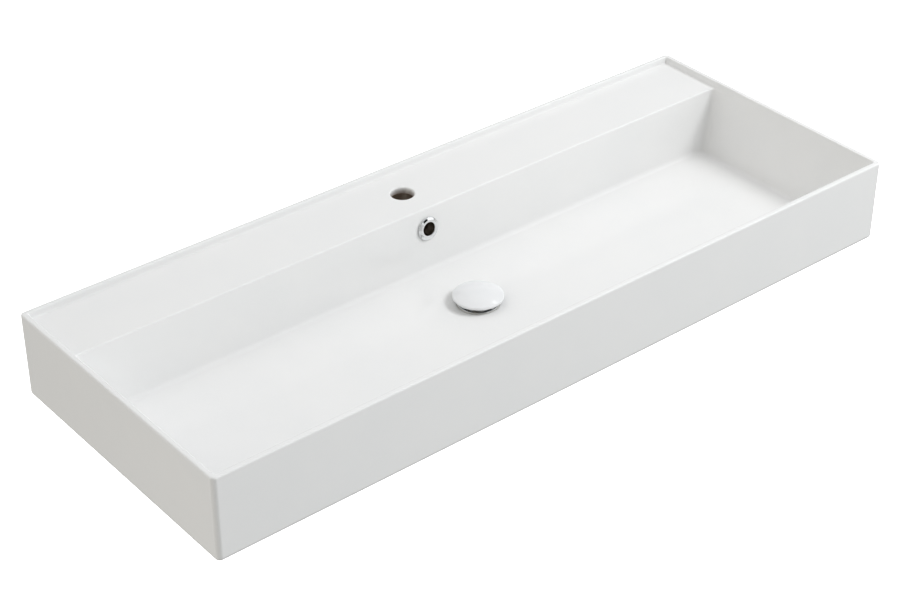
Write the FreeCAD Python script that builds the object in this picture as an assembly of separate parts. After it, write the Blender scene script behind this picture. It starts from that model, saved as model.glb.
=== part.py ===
import FreeCAD, Part
import os
import math

V = FreeCAD.Vector
os.makedirs("parts", exist_ok=True)

# ---------------------------------------------------------------------------
# Washbasin, wall-hung, one tap hole, overflow, push-to-close waste.
# Millimetres. X runs along the basin, +Y points into the wall, +Z is up.
# While it is drawn, y = 0 is the back face and z = 0 is the ceramic's foot.
# At the end every piece is shifted down by FIX_Z, so that the origin lies
# midway between the two wall fixing holes, on the back face.
# ---------------------------------------------------------------------------

# Ceramic casting, outside
BASIN_W = 1200.0        # length along the wall
BASIN_D = 460.0         # projection from the wall
BASIN_H = 132.0         # height of the apron
R_VERT = 8.0            # outer vertical corners
R_TOP = 2.6             # outer edge of the rim
R_FOOT = 6.5            # outer edge of the foot
RIM_T = 8.0             # thickness of the rim at the top
R_RIM_IN = 2.2          # inner edge of the rim

# Tap ledge
DECK_Z = 122.0          # top of the ledge
DECK_T = 10.5           # ceramic under the ledge
DECK_FRONT = 120.0      # front edge of the ledge, from the wall
DECK_LIP_SLOPE = 0.15   # inner face of the back rim
R_DECK_FOOT = 3.0       # where the ledge meets the rim
R_DECK_EDGE = 2.5       # front edge of the ledge
TAP_R = 17.5            # tap hole
TAP_Y = -64.5
TAP_EDGE_R = 2.8        # glazed edge of the tap hole

# Bowl
BOWL_FOOT_Z = 24.0      # floor along the walls
BOWL_LOW_Z = 20.0       # floor at the waste
SLOPE_SIDE = 36.0 / 108.0
SLOPE_BACK = 0.113
SLOPE_FRONT = 0.10
R_BOWL_FOOT = 8.0       # foot of the bowl's walls
R_CORNER_TOP = 5.0      # the bowl's upright corners at the rim
R_CORNER_LOW = 24.0     # and at the floor
DISH_INSET = 13.0       # start of the fall, inside the foot of the walls
WALL_MID_Z = 80.0

# Ceramic thicknesses and the hollow underside
WALL_T = 12.0
CAVITY_Z = 10.0         # underside of the bowl's floor
FOOT_FRONT = 14.0       # width of the foot at the front
RIB_X = 330.0           # stiffening webs behind the bowl
RIB_T = 12.0
RIB_LOW_Z = 26.0

# Wall fixings
FIX_Z = 72.0            # height of the holes above the foot
FIX_SPACING = 280.0
FIX_R = 9.0

# Overflow
OVF_Z = 90.0
OVF_HOLE_R = 12.0
DUCT_HALF_W = 24.0      # clear half-width of the duct
DUCT_WALL = 7.0
DUCT_DEPTH = 11.0       # clear depth behind the bowl
DUCT_TOP_Z = 104.0      # clear top
DUCT_LOW_Z = 4.5        # clear bottom under the floor
DUCT_CEIL_Z = 11.0      # clear top under the floor
DUCT_LOW_HALF_W = 18.0  # clear half-width under the floor
OVF_RING_R = 18.0
OVF_RING_T = 4.2
OVF_BORE_R = 10.5
OVF_SLEEVE_R = 11.75
OVF_SLEEVE_L = 11.0
OVF_SEAL_T = 0.8

# Waste, vertical axis
WST_Y = -239.0
WST_HOLE_R = 23.0
SEAT_R = 31.6           # recess round the flange
SEAT_Z = 17.0           # outer edge of the conical seat
SEAT_OUT_R = 31.0
SEAT_SLOPE = 0.4
BOSS_R = 40.0
GASKET_T = 1.5
GASKET_LIP_DROP = 0.3   # lip of the seat washer, below the flange's top
FLANGE_R = 30.5
FLANGE_T = 2.6
TUBE_R = 20.95          # G 1 1/4 outside thread, crest
TUBE_BORE_R = 18.0
TUBE_END_Z = -52.0
RELIEF_R = 19.7         # turned groove between the nut's thread and the tail's
RELIEF_Z0, RELIEF_Z1 = -24.0, -22.5
NECK_R = 22.0           # below the flange, inside the ceramic
NECK_Z = 11.5
CONE_TOP_R = 27.5       # throat of the flange
CONE_SLOPE = 0.55
SLOT_W = 15.0
SLOT_Z0, SLOT_Z1 = 2.5, 10.5
HUB_R = 12.0
HUB_Z0, HUB_Z1 = -14.0, -6.0
ARM_W = 4.0
SHANK_R = 8.45
HUB_BORE_R = 8.5

# Plug, drawn open
STROKE = 7.5
CAP_R = 37.5
CAP_Z = 29.3            # lowest face of the cap
CAP_H = 12.2
PLATE_R = 20.6
SEAL_R = 24.0
ROD_R = 3.0


# ---------------------------------------------------------------------------
# Helpers
# ---------------------------------------------------------------------------
def cyl(r, z0, z1, x=0.0, y=WST_Y):
    return Part.makeCylinder(r, z1 - z0, V(x, y, z0), V(0, 0, 1))


def ring(ro, ri, z0, z1, x=0.0, y=WST_Y):
    return cyl(ro, z0, z1, x, y).cut(cyl(ri, z0 - 1, z1 + 1, x, y))


def outline(points):
    """Closed wire of a (radius, height) outline. A point given with a third and
    fourth number is reached by an arc through that middle point."""
    edges = []
    last = V(points[0][0], 0, points[0][1])
    for p in list(points[1:]) + [points[0][:2]]:
        here = V(p[0], 0, p[1])
        if len(p) == 4:
            edges.append(Part.Arc(last, V(p[2], 0, p[3]), here).toShape())
        elif (here - last).Length > 1e-6:
            edges.append(Part.LineSegment(last, here).toShape())
        last = here
    return Part.Wire(edges)


def lathe(points, x=0.0, y=WST_Y):
    """Solid of revolution of a closed (radius, height) outline."""
    solid = Part.Face(outline(points)).revolve(V(0, 0, 0), V(0, 0, 1), 360)
    if solid.Volume < 0:
        solid.reverse()
    solid.translate(V(x, y, 0))
    return solid


def taper(low, high):
    """Solid between two level rectangles (x0, x1, y0, y1, z), all faces flat."""
    xa, xb, ya, yb, za = low
    xc, xd, yc, yd, zb = high
    s = Part.makeWedge(xa, za, -yb, -yd, xc, xb, zb, -ya, -yc, xd)
    s.rotate(V(0, 0, 0), V(1, 0, 0), 90)
    return s


def box(x0, x1, y0, y1, z0, z1):
    return Part.makeBox(x1 - x0, y1 - y0, z1 - z0, V(x0, y0, z0))


def prism_x(points, x0, x1):
    """Prism along X of a (y, z) outline."""
    pts = [V(x0, y, z) for y, z in points]
    return Part.Face(Part.makePolygon(pts + [pts[0]])).extrude(V(x1 - x0, 0, 0))


def prism_y(points, y0, y1):
    """Prism along Y of an (x, z) outline."""
    pts = [V(x, y0, z) for x, z in points]
    return Part.Face(Part.makePolygon(pts + [pts[0]])).extrude(V(0, y1 - y0, 0))


def hexagon(af, z0, z1, x=0.0, y=WST_Y):
    r = af / math.sqrt(3.0)
    pts = [V(x + r * math.cos(math.radians(60 * i + 30)),
             y + r * math.sin(math.radians(60 * i + 30)), z0) for i in range(6)]
    return Part.Face(Part.makePolygon(pts + [pts[0]])).extrude(V(0, 0, z1 - z0))


def near(a, b, tol=0.05):
    return abs(a - b) < tol


def pick(shape, test):
    """Edges whose two end points pass the test."""
    out = []
    for e in shape.Edges:
        vs = [v.Point for v in e.Vertexes]
        if len(vs) == 2 and test(vs[0], vs[1]):
            out.append(e)
    return out


# ---------------------------------------------------------------------------
# Ceramic casting
# ---------------------------------------------------------------------------
HALF_W = BASIN_W / 2.0


def x_side(z):
    """Inner face of the bowl's side walls."""
    return HALF_W - RIM_T - SLOPE_SIDE * (BASIN_H - z)


def y_back(z):
    return -DECK_FRONT - SLOPE_BACK * (DECK_Z - z)


def y_front(z):
    return -(BASIN_D - RIM_T) + SLOPE_FRONT * (BASIN_H - z)


def y_lip(z):
    return -RIM_T - DECK_LIP_SLOPE * (BASIN_H - z)


def y_bowl_rear(z):
    """Rear face of the bowl's back wall, seen from the hollow side."""
    return y_back(z) + WALL_T * math.hypot(1.0, SLOPE_BACK)


def x_bowl_outer(z):
    """Outer face of the bowl's side wall, seen from the hollow side."""
    return x_side(z) + WALL_T * math.hypot(1.0, SLOPE_SIDE)


def make_outer():
    b = box(-HALF_W, HALF_W, -BASIN_D, 0, 0, BASIN_H)
    b = b.makeFillet(R_VERT, pick(b, lambda p, q: near(p.x, q.x) and near(p.y, q.y)))
    b = b.makeFillet(R_TOP, [e for e in b.Edges if all(near(v.Point.z, BASIN_H) for v in e.Vertexes)])
    return b.makeFillet(R_FOOT, [e for e in b.Edges if all(near(v.Point.z, 0) for v in e.Vertexes)])


def make_space():
    """The air of the bowl and of the recess over the tap ledge."""
    top = BASIN_H + 10.0
    z0 = BOWL_FOOT_Z
    bowl = taper((-x_side(z0), x_side(z0), y_front(z0), y_back(z0), z0),
                 (-x_side(top), x_side(top), y_front(top), y_back(top), top))
    r_high = R_CORNER_LOW + (R_CORNER_TOP - R_CORNER_LOW) * (top - z0) / (BASIN_H - z0)
    for sx in (1, -1):
        for front in (True, False):
            e = pick(bowl, lambda p, q: abs(p.z - q.z) > 50 and sx * p.x > 0
                     and (p.y < WST_Y) == front)[0]
            first = e.valueAt(e.FirstParameter).z
            if first < WALL_MID_Z:
                bowl = bowl.makeFillet(R_CORNER_LOW, r_high, [e])
            else:
                bowl = bowl.makeFillet(r_high, R_CORNER_LOW, [e])
    bowl = bowl.makeFillet(R_BOWL_FOOT, [e for e in bowl.Edges if e.BoundBox.ZMax < z0 + 0.1])

    y_in = y_back(DECK_Z) - 40.0
    deck = taper((-x_side(DECK_Z), x_side(DECK_Z), y_in, y_lip(DECK_Z), DECK_Z),
                 (-x_side(top), x_side(top), y_in, y_lip(top), top))

    def foot(p, q):
        inner = near(p.y, y_in) and near(q.y, y_in)
        high = near(p.z, top) and near(q.z, top)
        return not inner and not high and (not (near(p.y, y_in) or near(q.y, y_in))
                                           or (near(p.z, DECK_Z) and near(q.z, DECK_Z)))

    deck = deck.makeFillet(R_DECK_FOOT, pick(deck, foot))
    space = bowl.fuse(deck).removeSplitter()
    lip = [e for e in space.Edges if near(e.BoundBox.ZMin, DECK_Z) and near(e.BoundBox.ZMax, DECK_Z)
           and e.BoundBox.YMax < y_back(DECK_Z) + 0.1]
    return space.makeFillet(R_DECK_EDGE, lip)


def make_dish():
    """The floor's slight fall to the waste."""
    z0 = BOWL_FOOT_Z
    x = x_side(z0) - DISH_INSET
    ya, yb = y_front(z0) + DISH_INSET, y_back(z0) - DISH_INSET
    return taper((-1, 1, WST_Y - 1, WST_Y + 1, BOWL_LOW_Z), (-x, x, ya, yb, z0))


def make_hollow():
    """The open underside, with the duct, the boss and the webs left standing."""
    xi = HALF_W - WALL_T
    deck_low = DECK_Z - DECK_T
    yf = -(BASIN_D - FOOT_FRONT)
    rear = prism_x([(-WALL_T, -5), (-WALL_T, deck_low), (y_bowl_rear(deck_low), deck_low),
                    (y_bowl_rear(CAVITY_Z), CAVITY_Z), (y_bowl_rear(CAVITY_Z), -5)], -xi, xi)
    floor = box(-xi, xi, yf, -WALL_T, -5, CAVITY_Z)
    z_join = BASIN_H - (HALF_W - RIM_T - (xi - WALL_T * math.hypot(1.0, SLOPE_SIDE))) / SLOPE_SIDE
    hollow = rear.fuse(floor)
    for s in (1, -1):
        side = prism_y([(s * xi, -5), (s * xi, z_join - 2.0), (s * x_bowl_outer(z_join - 2.0), z_join - 2.0),
                        (s * x_bowl_outer(CAVITY_Z), CAVITY_Z), (s * x_bowl_outer(CAVITY_Z), -5)],
                       yf, -WALL_T - 40.0)
        hollow = hollow.fuse(side)
    hollow = hollow.removeSplitter()

    w = DUCT_HALF_W + DUCT_WALL
    top = deck_low + 1.0
    back = DUCT_DEPTH + DUCT_WALL
    leg = prism_x([(y_bowl_rear(top) - 2, top), (y_bowl_rear(top) + back, top),
                   (y_bowl_rear(0) + back, 0), (y_bowl_rear(0) - 2, 0)], -w, w)
    w2 = DUCT_LOW_HALF_W + DUCT_WALL
    run = box(-w2, w2, WST_Y, y_bowl_rear(0) + back, 0, CAVITY_Z + 1)
    boss = cyl(BOSS_R, 0, CAVITY_Z + 1)
    keep = leg.fuse(run).fuse(boss)
    for s in (1, -1):
        keep = keep.fuse(box(s * RIB_X - RIB_T / 2, s * RIB_X + RIB_T / 2, -DECK_FRONT - 2, -WALL_T + 2,
                             RIB_LOW_Z, deck_low + 1))
    return hollow.cut(keep)


def make_duct():
    """Clear passage from the overflow hole to the waste hole."""
    leg = prism_x([(y_bowl_rear(DUCT_TOP_Z), DUCT_TOP_Z), (y_bowl_rear(DUCT_TOP_Z) + DUCT_DEPTH, DUCT_TOP_Z),
                   (y_bowl_rear(DUCT_LOW_Z) + DUCT_DEPTH, DUCT_LOW_Z), (y_bowl_rear(DUCT_LOW_Z), DUCT_LOW_Z)],
                  -DUCT_HALF_W, DUCT_HALF_W)
    run = box(-DUCT_LOW_HALF_W, DUCT_LOW_HALF_W, WST_Y, y_bowl_rear(DUCT_LOW_Z) + DUCT_DEPTH - 1.0,
              DUCT_LOW_Z, DUCT_CEIL_Z)
    return leg.fuse(run).removeSplitter()


def seat_z(r):
    """Height of the conical seat at a radius."""
    return SEAT_Z - SEAT_SLOPE * (SEAT_OUT_R - r)


OVF_C = V(0, y_back(OVF_Z), OVF_Z)
OVF_N = V(0, -1, SLOPE_BACK).normalize()


def to_wall(shape):
    """Moves a piece drawn about +Z to the overflow hole, +Z pointing into the bowl."""
    s = shape.copy()
    s.Placement = FreeCAD.Placement(OVF_C, FreeCAD.Rotation(V(0, 0, 1), OVF_N)).multiply(s.Placement)
    return s


def make_basin():
    b = make_outer().cut(make_space())
    b = b.cut(make_dish())
    rim = [e for e in b.Edges if near(e.BoundBox.ZMin, BASIN_H, 0.01) and near(e.BoundBox.ZMax, BASIN_H, 0.01)
           and e.BoundBox.YMin > -(BASIN_D - RIM_T) - 0.2 and e.BoundBox.YMax < -RIM_T + 0.2
           and abs(e.BoundBox.XMin) < HALF_W - RIM_T + 0.2 and abs(e.BoundBox.XMax) < HALF_W - RIM_T + 0.2]
    b = b.makeFillet(R_RIM_IN, rim)
    b = b.cut(make_hollow())
    b = b.cut(make_duct())
    b = b.cut(Part.makeCylinder(OVF_HOLE_R, 10 + WALL_T + 4.0, OVF_C + OVF_N * 10, OVF_N * -1))
    # waste hole, its seat and the seat's softened edge
    b = b.cut(cyl(WST_HOLE_R, -1, SEAT_Z + 1))
    b = b.cut(lathe([(0, seat_z(WST_HOLE_R)), (WST_HOLE_R, seat_z(WST_HOLE_R)), (SEAT_OUT_R, SEAT_Z),
                     (SEAT_R, SEAT_Z), (SEAT_R, BOWL_LOW_Z - 1.2),
                     (SEAT_R + 2.6, BOWL_LOW_Z + 1.4, SEAT_R + 0.7, BOWL_LOW_Z + 0.7),
                     (SEAT_R + 2.6, BOWL_LOW_Z + 6), (0, BOWL_LOW_Z + 6)]))
    # tap hole
    b = b.cut(cyl(TAP_R, DECK_Z - DECK_T - 2, DECK_Z + 5, 0, TAP_Y))
    tap = [e for e in b.Edges if near(e.BoundBox.ZMin, DECK_Z, 0.01) and near(e.BoundBox.ZMax, DECK_Z, 0.01)
           and near(e.BoundBox.XMax, TAP_R, 0.3) and near(e.BoundBox.YMax, TAP_Y + TAP_R, 0.3)]
    b = b.makeFillet(TAP_EDGE_R, tap)
    for s in (1, -1):
        b = b.cut(Part.makeCylinder(FIX_R, WALL_T + 4, V(s * FIX_SPACING / 2, 1, FIX_Z), V(0, -1, 0)))
    return b


# ---------------------------------------------------------------------------
# Overflow trim
# ---------------------------------------------------------------------------
def make_overflow_ring():
    t0, t1 = OVF_SEAL_T, OVF_RING_T
    return to_wall(lathe([
        (OVF_BORE_R, -OVF_SLEEVE_L), (OVF_SLEEVE_R, -OVF_SLEEVE_L), (OVF_SLEEVE_R, t0),
        (OVF_RING_R - 0.4, t0), (OVF_RING_R, t0 + 0.4), (OVF_RING_R, t0 + 1.2),
        (OVF_RING_R - 1.4, t0 + 2.2, OVF_RING_R - 0.35, t0 + 1.9),
        (OVF_RING_R - 4.2, t1 - 0.4), (OVF_RING_R - 5.4, t1, OVF_RING_R - 4.9, t1 - 0.1),
        (OVF_BORE_R + 0.9, t1), (OVF_BORE_R, t1 - 1.0, OVF_BORE_R + 0.25, t1 - 0.3)], 0, 0))


def make_overflow_seal():
    return to_wall(ring(OVF_RING_R - 1.6, OVF_HOLE_R + 0.2, 0, OVF_SEAL_T, 0, 0))


# ---------------------------------------------------------------------------
# Waste: fixed pieces
# ---------------------------------------------------------------------------
FLANGE_TOP = SEAT_Z + GASKET_T + FLANGE_T


def throat_z(r):
    return FLANGE_TOP - 0.6 - CONE_SLOPE * (CONE_TOP_R - r)


def under_z(r):
    return seat_z(r) + GASKET_T


def make_waste_body():
    z1 = FLANGE_TOP
    s = lathe([
        (TUBE_BORE_R, TUBE_END_Z), (TUBE_R - 1.0, TUBE_END_Z), (TUBE_R, TUBE_END_Z + 1.0),
        (TUBE_R, RELIEF_Z0), (RELIEF_R, RELIEF_Z0 + 0.3), (RELIEF_R, RELIEF_Z1 - 0.3), (TUBE_R, RELIEF_Z1),
        (TUBE_R, NECK_Z),
        (NECK_R, NECK_Z), (NECK_R, under_z(NECK_R)), (FLANGE_R - 0.5, under_z(FLANGE_R - 0.5)),
        (FLANGE_R, under_z(FLANGE_R - 0.5) + 0.5), (FLANGE_R, z1 - 0.8),
        (FLANGE_R - 0.8, z1, FLANGE_R - 0.235, z1 - 0.235),
        (CONE_TOP_R + 1.2, z1), (CONE_TOP_R, z1 - 0.6, CONE_TOP_R + 0.5, z1 - 0.17),
        (TUBE_BORE_R, throat_z(TUBE_BORE_R))])
    for a in (0, 90):
        slot = box(-SLOT_W / 2, SLOT_W / 2, -TUBE_R - 2, TUBE_R + 2, SLOT_Z0, SLOT_Z1)
        slot.rotate(V(0, 0, 0), V(0, 0, 1), a)
        slot.translate(V(0, WST_Y, 0))
        s = s.cut(slot)
    hub = cyl(HUB_R, HUB_Z0, HUB_Z1)
    for a in (90, 210, 330):
        arm = box(HUB_R - 2.0, TUBE_BORE_R + 0.8, -ARM_W / 2, ARM_W / 2, HUB_Z0, HUB_Z1 - 1.0)
        arm.rotate(V(0, 0, 0), V(0, 0, 1), a)
        arm.translate(V(0, WST_Y, 0))
        hub = hub.fuse(arm)
    return s.fuse(hub).removeSplitter().cut(cyl(HUB_BORE_R, HUB_Z0 - 1, HUB_Z1 + 1))


def make_top_gasket():
    """Seat washer whose upturned lip fills the gap round the flange."""
    ri, rf = WST_HOLE_R + 0.3, FLANGE_R - 0.5
    rl, ro, top = FLANGE_R + 0.06, SEAT_R - 0.2, FLANGE_TOP - GASKET_LIP_DROP
    return lathe([(ri, seat_z(ri)), (SEAT_OUT_R, SEAT_Z), (ro, SEAT_Z), (ro, top - 0.25), (ro - 0.25, top),
                  (rl + 0.25, top), (rl, top - 0.25), (rl, under_z(rf) + 0.56), (rf, under_z(rf)),
                  (ri, under_z(ri))])


GASKET_LOW = -11.0
SLIP_LOW = -12.5
NUT_LOW = -21.5


def make_bottom_gasket():
    return lathe([(TUBE_R + 0.15, 0), (31.0, 0), (31.0, -2.5), (25.5, GASKET_LOW), (TUBE_R + 0.15, GASKET_LOW)])


def make_slip_washer():
    return ring(29.0, TUBE_R + 0.25, SLIP_LOW, GASKET_LOW)


def make_back_nut():
    nut = hexagon(54.0, NUT_LOW, SLIP_LOW)
    trim = lathe([(0, NUT_LOW), (27.6, NUT_LOW), (31.4, NUT_LOW + 2.2), (31.4, SLIP_LOW - 2.2),
                  (27.6, SLIP_LOW), (0, SLIP_LOW)])
    return nut.common(trim).cut(cyl(TUBE_R + 0.05, NUT_LOW - 1, SLIP_LOW + 1))


# Latch housing: bore A holds the spring, bore B the rotor
HOUSE_LOW = -36.0
BORE_B_R, BORE_A_R = 5.4, 7.0
STEP_Z = -14.0
HOUSE_TOP = 5.0
WASHER_T = 1.0
HEX_Z0, HEX_Z1 = HUB_Z1 + WASHER_T, HUB_Z1 + WASHER_T + 3.0


def make_latch_housing():
    s = lathe([(BORE_B_R, HOUSE_LOW), (SHANK_R - 0.8, HOUSE_LOW), (SHANK_R, HOUSE_LOW + 0.8), (SHANK_R, HEX_Z0),
               (9.5, HEX_Z0), (9.5, HOUSE_TOP), (BORE_A_R, HOUSE_TOP), (BORE_A_R, STEP_Z), (BORE_B_R, STEP_Z)])
    collar = hexagon(20.0, HEX_Z0, HEX_Z1).cut(cyl(9.0, HEX_Z0 - 1, HEX_Z1 + 1))
    return s.fuse(collar).removeSplitter()


def make_latch_cap():
    return lathe([(ROD_R + 0.08, HOUSE_TOP), (9.5, HOUSE_TOP), (9.5, HOUSE_TOP + 2.0), (8.6, HOUSE_TOP + 3.0),
                  (ROD_R + 0.08, HOUSE_TOP + 3.0)])


def make_housing_washer():
    return ring(11.6, SHANK_R + 0.1, HUB_Z1, HUB_Z1 + WASHER_T)


TOOTH_N = 8
TRACK_TIP = -33.25


def saw_teeth(ri, ro, z_root, z_tip, count):
    """Ring of sawteeth between two radii, pointing from z_root to z_tip."""
    out = None
    rise = z_tip - z_root
    for i in range(count):
        a0 = 360.0 / count * i
        mid = math.radians(a0)
        span = math.radians(360.0 / count * 0.46)
        rm = 0.5 * (ri + ro)
        half = rm * math.tan(span) * 0.98
        pts = [V(ri - 0.4, -half, z_root), V(ri - 0.4, half, z_root), V(ri - 0.4, half, z_root + rise)]
        t = Part.Face(Part.makePolygon(pts + [pts[0]])).extrude(V(ro - ri + 0.8, 0, 0))
        t.rotate(V(0, 0, 0), V(0, 0, 1), math.degrees(mid))
        out = t if out is None else out.fuse(t)
    out.translate(V(0, WST_Y, 0))
    lo, hi = min(z_root, z_tip), max(z_root, z_tip)
    return out.common(ring(ro, ri, lo - 0.1, hi + 0.1))


def make_latch_track():
    base = ring(BORE_B_R - 0.03, 3.8, HOUSE_LOW, TRACK_TIP - 1.2)
    teeth = saw_teeth(3.8, BORE_B_R - 0.03, TRACK_TIP - 1.3, TRACK_TIP, TOOTH_N)
    return base.fuse(teeth).removeSplitter()


# ---------------------------------------------------------------------------
# Waste: moving pieces, drawn with the plug open
# ---------------------------------------------------------------------------
COLLAR_Z0, COLLAR_Z1 = 1.95, HOUSE_TOP - 0.05
JOURNAL_Z1 = -16.0
JOURNAL_Z0 = -23.0
ROTOR_Z0, ROTOR_Z1 = -22.95, -16.05
ROTOR_TIP = TRACK_TIP + STROKE + 0.35
PLATE_Z1 = CAP_Z - 1.0
PLATE_Z0 = PLATE_Z1 - 3.0
INSERT_R = 10.0


def make_plunger():
    return lathe([(0, JOURNAL_Z0 - 1.5), (3.0, JOURNAL_Z0 - 1.5), (3.4, JOURNAL_Z0 - 1.1), (3.4, JOURNAL_Z0),
                  (2.05, JOURNAL_Z0), (2.05, JOURNAL_Z1), (ROD_R, JOURNAL_Z1), (ROD_R, COLLAR_Z0),
                  (6.3, COLLAR_Z0), (6.6, COLLAR_Z0 + 0.3), (6.6, COLLAR_Z1 - 0.3), (6.3, COLLAR_Z1),
                  (ROD_R, COLLAR_Z1), (ROD_R, CAP_Z + 2.5), (ROD_R - 0.7, CAP_Z + 3.2), (0, CAP_Z + 3.2)])


def make_rotor():
    base = ring(5.1, 2.1, ROTOR_Z0, ROTOR_Z1)
    teeth = saw_teeth(3.75, 5.1, ROTOR_Z0 + 0.05, ROTOR_TIP, TOOTH_N)
    return base.fuse(teeth).removeSplitter()


SPRING_R = 6.1
WIRE_R = 0.5
SPRING_TURNS = 4.75


def make_spring():
    z0 = STEP_Z + WIRE_R
    z1 = COLLAR_Z0 - WIRE_R
    pitch = (z1 - z0) / SPRING_TURNS
    helix = Part.makeLongHelix(pitch, z1 - z0, SPRING_R)
    circle = Part.Wire(Part.Circle(V(SPRING_R, 0, 0), V(0, 1, pitch / (2 * math.pi * SPRING_R)), WIRE_R).toShape())
    s = Part.Wire(helix).makePipeShell([circle], True, True)
    s.translate(V(0, WST_Y, z0))
    return s


def make_plate():
    return lathe([(ROD_R + 0.04, PLATE_Z0), (20.0, PLATE_Z0), (20.2, PLATE_Z0 + 0.2), (20.2, PLATE_Z0 + 0.7),
                  (18.8, PLATE_Z0 + 0.7), (18.8, PLATE_Z0 + 2.1), (PLATE_R, PLATE_Z0 + 2.1), (PLATE_R, PLATE_Z1),
                  (ROD_R + 0.04, PLATE_Z1)])


def make_seal():
    z = PLATE_Z0 + 0.7
    return lathe([(18.82, z + 0.02), (20.9, z + 0.02), (SEAL_R - 0.8, z + 0.2),
                  (SEAL_R, z + 0.8, SEAL_R - 0.2, z + 0.4), (SEAL_R - 0.4, z + 1.2),
                  (21.6, z + 1.38), (18.82, z + 1.38)])


def make_lock_nut():
    return hexagon(10.0, PLATE_Z0 - 4.0, PLATE_Z0).cut(cyl(ROD_R + 0.04, PLATE_Z0 - 5, PLATE_Z0 + 1))


def make_cushion():
    return ring(19.0, INSERT_R + 0.4, PLATE_Z1, CAP_Z)


def make_insert():
    return lathe([(ROD_R + 0.04, PLATE_Z1), (INSERT_R, PLATE_Z1), (INSERT_R, CAP_Z + 3.6), (INSERT_R - 0.5, CAP_Z + 4.1),
                  (0, CAP_Z + 4.1), (0, CAP_Z + 3.4), (ROD_R + 0.04, CAP_Z + 3.4)])


def make_cap():
    edge_r = 2.4
    cx, cz = CAP_R - edge_r, CAP_Z + edge_r
    # crown arc centred on the axis at c0, tangent to the rounded edge
    crown = CAP_Z + CAP_H
    k = crown - edge_r
    c0 = (cx * cx + cz * cz - k * k) / (2.0 * (cz - k))
    radius = crown - c0
    t = math.atan2(cz - c0, cx)
    tan = (cx + edge_r * math.cos(t), cz + edge_r * math.sin(t))
    mid_edge = (cx + edge_r * math.cos(t / 2 - math.pi / 4), cz + edge_r * math.sin(t / 2 - math.pi / 4))
    tm = 0.5 * (t + math.pi / 2)
    mid_top = (radius * math.cos(tm), c0 + radius * math.sin(tm))
    return lathe([(INSERT_R + 0.2, CAP_Z), (cx, CAP_Z), (tan[0], tan[1], mid_edge[0], mid_edge[1]),
                  (0, crown, mid_top[0], mid_top[1]), (0, CAP_Z + 4.2), (INSERT_R + 0.2, CAP_Z + 4.2)])


# ---------------------------------------------------------------------------
def export(name, shape):
    s = shape.copy()
    s.translate(V(0, 0, -FIX_Z))
    s.exportStep("parts/%s.step" % name)
    print("%-20s solids %d valid %s volume %.2f cm3" % (name, len(s.Solids), s.isValid(), s.Volume / 1000.0))


PIECES = [
    ("basin_body", make_basin),
    ("overflow_ring", make_overflow_ring),
    ("overflow_ring_seal", make_overflow_seal),
    ("waste_body", make_waste_body),
    ("top_gasket", make_top_gasket),
    ("bottom_gasket", make_bottom_gasket),
    ("slip_washer", make_slip_washer),
    ("back_nut", make_back_nut),
    ("latch_housing", make_latch_housing),
    ("latch_cap", make_latch_cap),
    ("housing_washer", make_housing_washer),
    ("latch_track", make_latch_track),
    ("latch_rotor", make_rotor),
    ("plunger", make_plunger),
    ("plunger_spring", make_spring),
    ("plug_plate", make_plate),
    ("plug_seal", make_seal),
    ("plug_lock_nut", make_lock_nut),
    ("cap_cushion", make_cushion),
    ("cap_insert", make_insert),
    ("waste_cap", make_cap),
]

for piece_name, maker in PIECES:
    export(piece_name, maker())
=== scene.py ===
import math

import bmesh
import bpy
import numpy as np
from mathutils import Matrix, Vector


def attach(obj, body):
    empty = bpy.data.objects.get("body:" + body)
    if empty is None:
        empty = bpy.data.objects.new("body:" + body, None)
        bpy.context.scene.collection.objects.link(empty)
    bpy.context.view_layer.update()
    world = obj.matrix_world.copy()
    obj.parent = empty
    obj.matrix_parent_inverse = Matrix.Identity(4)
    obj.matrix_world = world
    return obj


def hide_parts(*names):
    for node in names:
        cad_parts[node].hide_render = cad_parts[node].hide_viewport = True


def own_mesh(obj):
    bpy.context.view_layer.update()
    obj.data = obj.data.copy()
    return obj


# ---------------------------------------------------------------------------
# Washbasin: glazed ceramic casting, chromed overflow trim, push-to-close
# waste. Lengths in the tables below are millimetres, with z = 0 at the foot
# of the casting; row() turns them into the row frame, in metres.
# ---------------------------------------------------------------------------
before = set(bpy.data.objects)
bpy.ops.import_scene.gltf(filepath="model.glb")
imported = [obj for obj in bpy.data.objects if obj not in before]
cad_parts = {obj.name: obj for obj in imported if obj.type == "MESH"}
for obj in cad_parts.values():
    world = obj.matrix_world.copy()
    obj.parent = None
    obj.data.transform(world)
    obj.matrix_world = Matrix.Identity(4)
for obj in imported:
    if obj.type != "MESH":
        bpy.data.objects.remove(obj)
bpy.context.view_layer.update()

FOOT_TO_ORIGIN = 72.0
WST_Y = -239.0
BASIN_W, BASIN_D, BASIN_H = 1200.0, 460.0, 132.0
HALF_W = BASIN_W / 2
R_VERT, R_TOP, R_FOOT, RIM_T, R_RIM_IN = 8.0, 2.6, 6.5, 8.0, 2.2
DECK_Z, DECK_T, DECK_FRONT, LIP_SLOPE = 122.0, 10.5, 120.0, 0.15
R_DECK_FOOT, R_DECK_EDGE = 3.0, 2.5
TAP_R, TAP_Y, TAP_EDGE_R = 17.5, -64.5, 2.8
BOWL_FOOT_Z, BOWL_LOW_Z, DISH_INSET, R_BOWL = 24.0, 20.0, 13.0, 8.0
R_CORNER_TOP, R_CORNER_LOW = 5.0, 24.0
SIDE, BACK, FRONT = 1 / 3, 0.113, 0.10
WALL_T, CAVITY_Z, FOOT_FRONT = 12.0, 10.0, 14.0
OVF_Z, OVF_HOLE_R = 90.0, 12.0
SEAT_R, SEAT_OUT_R, FLANGE_R = 31.6, 31.0, 30.5


def seat_z(r):
    return 17.0 - 0.4 * (SEAT_OUT_R - r)


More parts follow.
